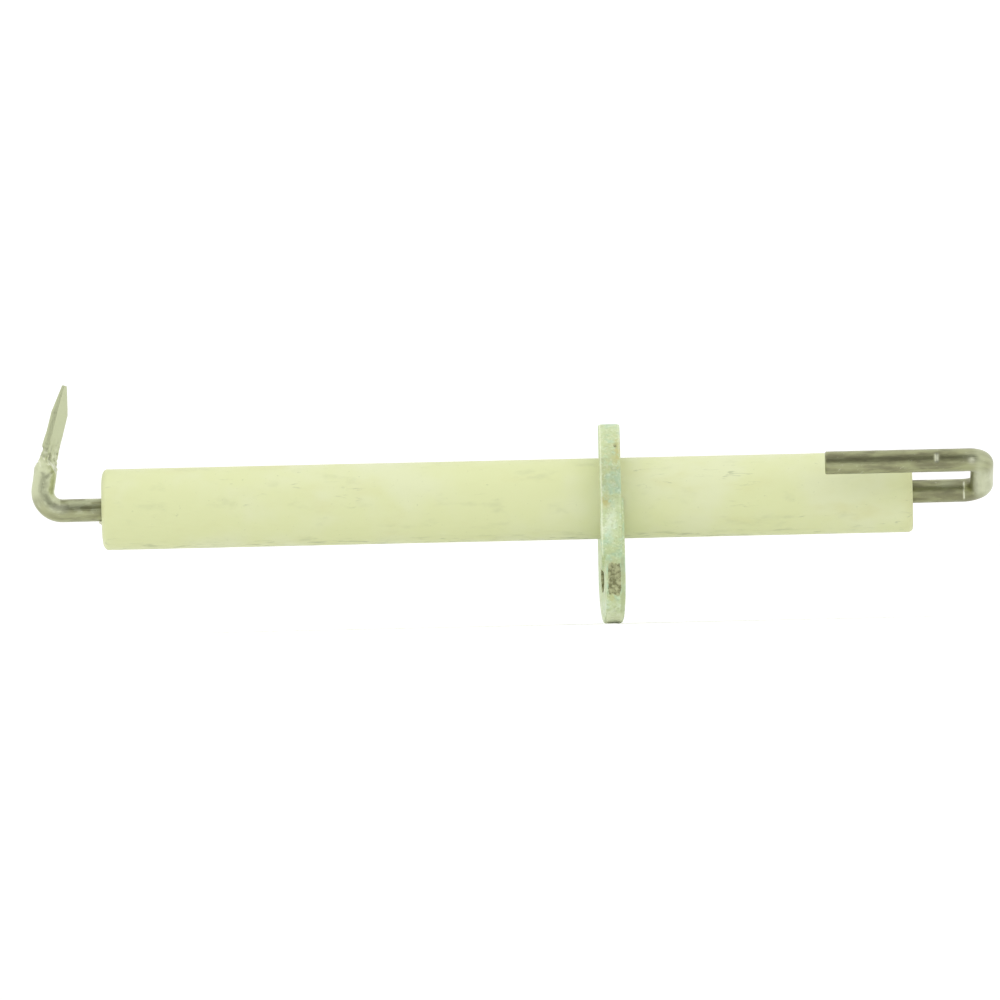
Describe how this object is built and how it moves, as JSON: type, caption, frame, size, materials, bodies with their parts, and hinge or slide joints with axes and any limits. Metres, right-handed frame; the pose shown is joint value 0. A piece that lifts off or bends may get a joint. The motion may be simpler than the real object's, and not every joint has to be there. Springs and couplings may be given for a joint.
{
  "type": "ignition electrode",
  "caption": "Bent heat-resistant wire in a long ceramic tube, with a flattened spark tip, a bonded metal flange with a screw tongue and a hooked terminal end.",
  "frame": {"origin": "on the ceramic tube's axis, in the plane of the flange's seat", "axes": "+X along the tube from the spark tip to the hooked terminal, +Z the way the spark tip stands, opposite to the flange's screw tongue"},
  "size_m": [0.166, 0.0293, 0.0433],
  "materials": {
    "ceramic": "fired cream-yellow body, satin, lightly scuffed",
    "wire": "heat-resistant alloy, olive-grey oxide, drawn along its length",
    "cement": "matt fireclay cement",
    "flange_metal": "rough zinc-plated steel with specks of rust"
  },
  "bodies": {
    "root": {"ceramic_insulator": "ceramic", "electrode_wire": "wire", "front_cement": "cement", "rear_cement": "cement", "mounting_flange": "flange_metal", "flange_cement": "cement"}
  },
  "joints": []
}
